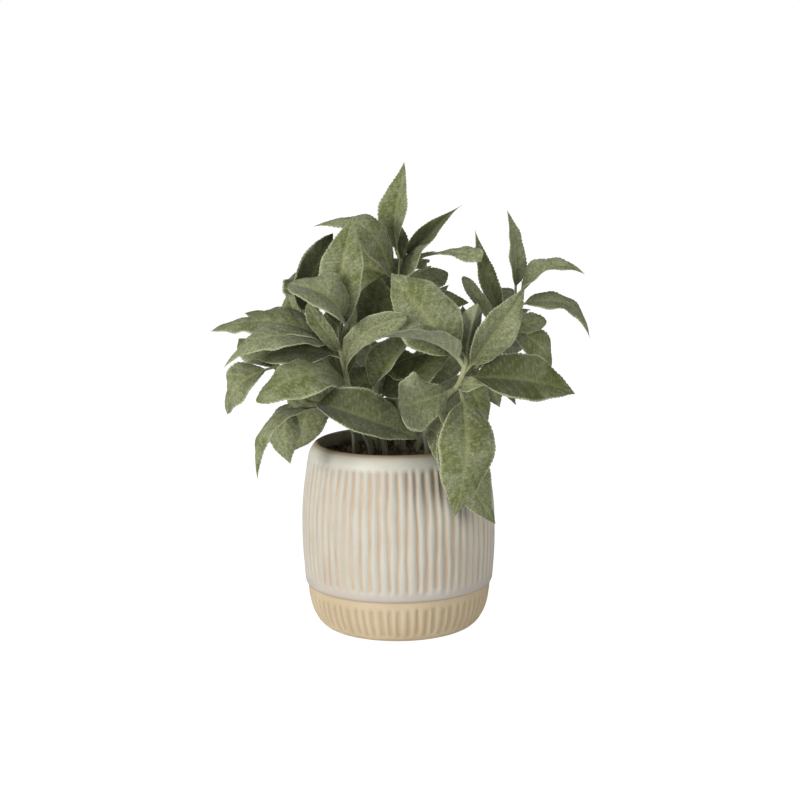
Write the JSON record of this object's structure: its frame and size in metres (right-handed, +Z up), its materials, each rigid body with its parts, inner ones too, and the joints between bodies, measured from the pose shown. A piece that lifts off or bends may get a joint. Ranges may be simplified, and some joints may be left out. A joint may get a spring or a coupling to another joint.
{
  "type": "potted sage",
  "caption": "Bushy broad-leaved sage plant in soil in a round grooved stoneware pot, glazed above a step and bare clay below.",
  "frame": {"origin": "centre of the pot's flat bottom", "axes": "+Z up along the pot's axis, -Y towards the front of the plant, +X to its right"},
  "size_m": [0.209, 0.1839, 0.265],
  "materials": {
    "stoneware": "off-white satin glaze worn to tan in carved grooves, over bare cream clay below the step",
    "soil": "dark crumbly potting soil",
    "foliage": "felted grey-green leaves with paler undersides, midribs and stems"
  },
  "bodies": {
    "root": {"pot": "stoneware", "soil": "soil", "leafy_stem_front_left": "foliage", "leafy_stem_left": "foliage", "leafy_stem_front_right": "foliage", "leafy_stem_right": "foliage", "leafy_stem_middle": "foliage", "leafy_stem_centre_low": "foliage", "leafy_stem_back_left": "foliage", "leafy_stem_back": "foliage", "leafy_stem_back_right": "foliage", "leafy_stem_back_far_left": "foliage", "leafy_stem_back_low": "foliage"}
  },
  "joints": []
}
